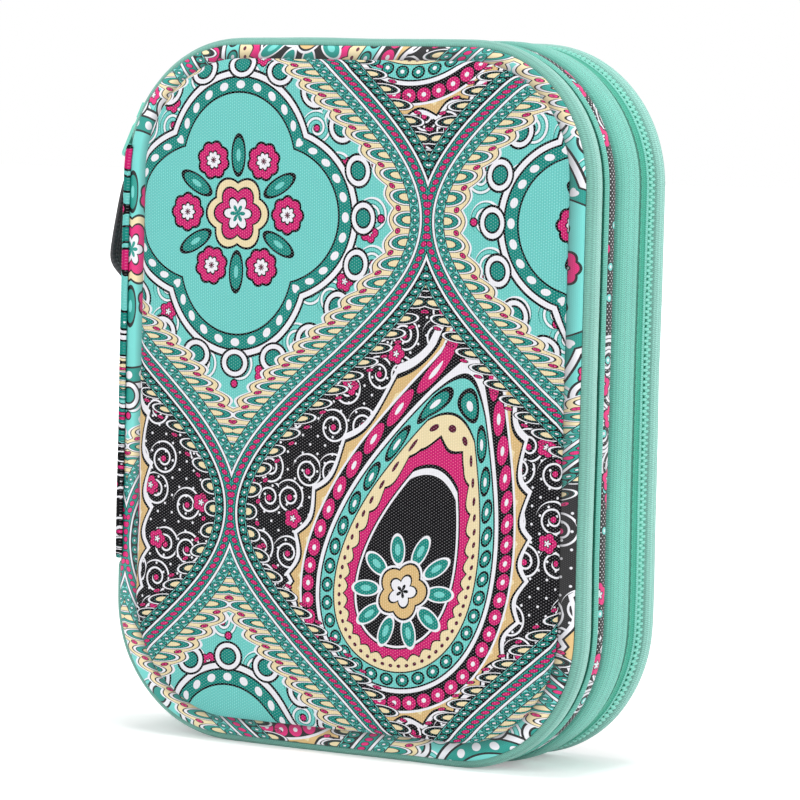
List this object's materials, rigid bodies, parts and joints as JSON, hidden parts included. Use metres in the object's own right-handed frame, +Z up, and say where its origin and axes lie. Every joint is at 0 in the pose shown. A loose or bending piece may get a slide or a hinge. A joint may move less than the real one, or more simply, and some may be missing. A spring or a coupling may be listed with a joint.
{
  "type": "crochet organizer bag",
  "caption": "Soft zipped organizer case with padded printed covers, a spine section with a carrying strap, and two compartments for crochet hooks and tools.",
  "frame": {"origin": "under the middle of the base, where the closed case stands, midway between its two panels and between its spine and its opening side", "axes": "+X towards the opening side, away from the spine; -Y out of the front cover; +Z up along the spine"},
  "size_m": [0.1732, 0.053, 0.21],
  "materials": {
    "printed_canvas": "coarse plain-weave polyester canvas with an all-over ornamental print",
    "printed_binding": "smooth printed cloth, slightly shiny",
    "foam": "closed-cell foam on stiff card, covered by cloth",
    "lining": "fine plain-weave nylon lining",
    "mesh": "black nylon net",
    "elastic": "ribbed woven elastic",
    "zip_tape": "mint green woven zip tape",
    "zip_coil": "mint green nylon coil",
    "webbing": "charcoal polypropylene webbing",
    "slider_metal": "mint enamel on die-cast zinc"
  },
  "bodies": {
    "middle_section": {"zip1_rear_coil": "zip_coil", "zip1_rear_tape": "zip_tape", "middle_gusset": "printed_canvas", "zip2_front_tape": "zip_tape", "zip2_front_coil": "zip_coil", "middle_lining": "lining", "spine_canvas": "printed_canvas", "spine_board": "foam", "spine_lining": "lining", "divider_panel": "lining", "hook_band_upper": "elastic", "hook_band_lower": "elastic", "divider_slip_pocket": "lining", "handle_strap": "webbing"},
    "front_cover": {"front_panel_canvas": "printed_canvas", "front_foam_pad": "foam", "front_gusset": "printed_binding", "front_lining": "lining", "front_mesh_pocket": "mesh", "front_pocket_binding": "elastic", "zip1_front_tape": "zip_tape", "zip1_front_coil": "zip_coil"},
    "back_cover": {"back_panel_canvas": "printed_canvas", "back_foam_pad": "foam", "back_gusset": "printed_binding", "back_lining": "lining", "back_mesh_pocket": "mesh", "back_pocket_binding": "elastic", "zip2_rear_tape": "zip_tape", "zip2_rear_coil": "zip_coil"},
    "front_zip_slider": {"zip1_slider": "slider_metal"},
    "front_zip_pull": {"zip1_pull": "slider_metal"},
    "rear_zip_slider": {"zip2_slider": "slider_metal"},
    "rear_zip_pull": {"zip2_pull": "slider_metal"}
  },
  "joints": [
    {"name": "front_cover_hinge", "type": "hinge", "parent": "middle_section", "child": "front_cover", "pos_m": [-0.0821, -0.0221, 0.115], "axis": [0, 0, -1], "range_deg": [0, 180]},
    {"name": "back_cover_hinge", "type": "hinge", "parent": "middle_section", "child": "back_cover", "pos_m": [-0.0821, 0.0221, 0.115], "axis": [0, 0, 1], "range_deg": [0, 180]},
    {"name": "front_slider_travel", "type": "hinge", "parent": "middle_section", "child": "front_zip_slider", "pos_m": [-0.0405, -0.014, 0.169], "axis": [0, 1, 0], "range_deg": [0, 58]},
    {"name": "front_pull_hinge", "type": "hinge", "parent": "front_zip_slider", "child": "front_zip_pull", "pos_m": [-0.07983, -0.014, 0.18734], "axis": [0, 1, 0], "range_deg": [0, 165]},
    {"name": "rear_slider_travel", "type": "hinge", "parent": "middle_section", "child": "rear_zip_slider", "pos_m": [-0.0405, 0.01335, 0.169], "axis": [0, 1, 0], "range_deg": [0, 58]},
    {"name": "rear_pull_hinge", "type": "hinge", "parent": "rear_zip_slider", "child": "rear_zip_pull", "pos_m": [-0.07983, 0.01335, 0.18734], "axis": [0, 1, 0], "range_deg": [0, 165]}
  ]
}
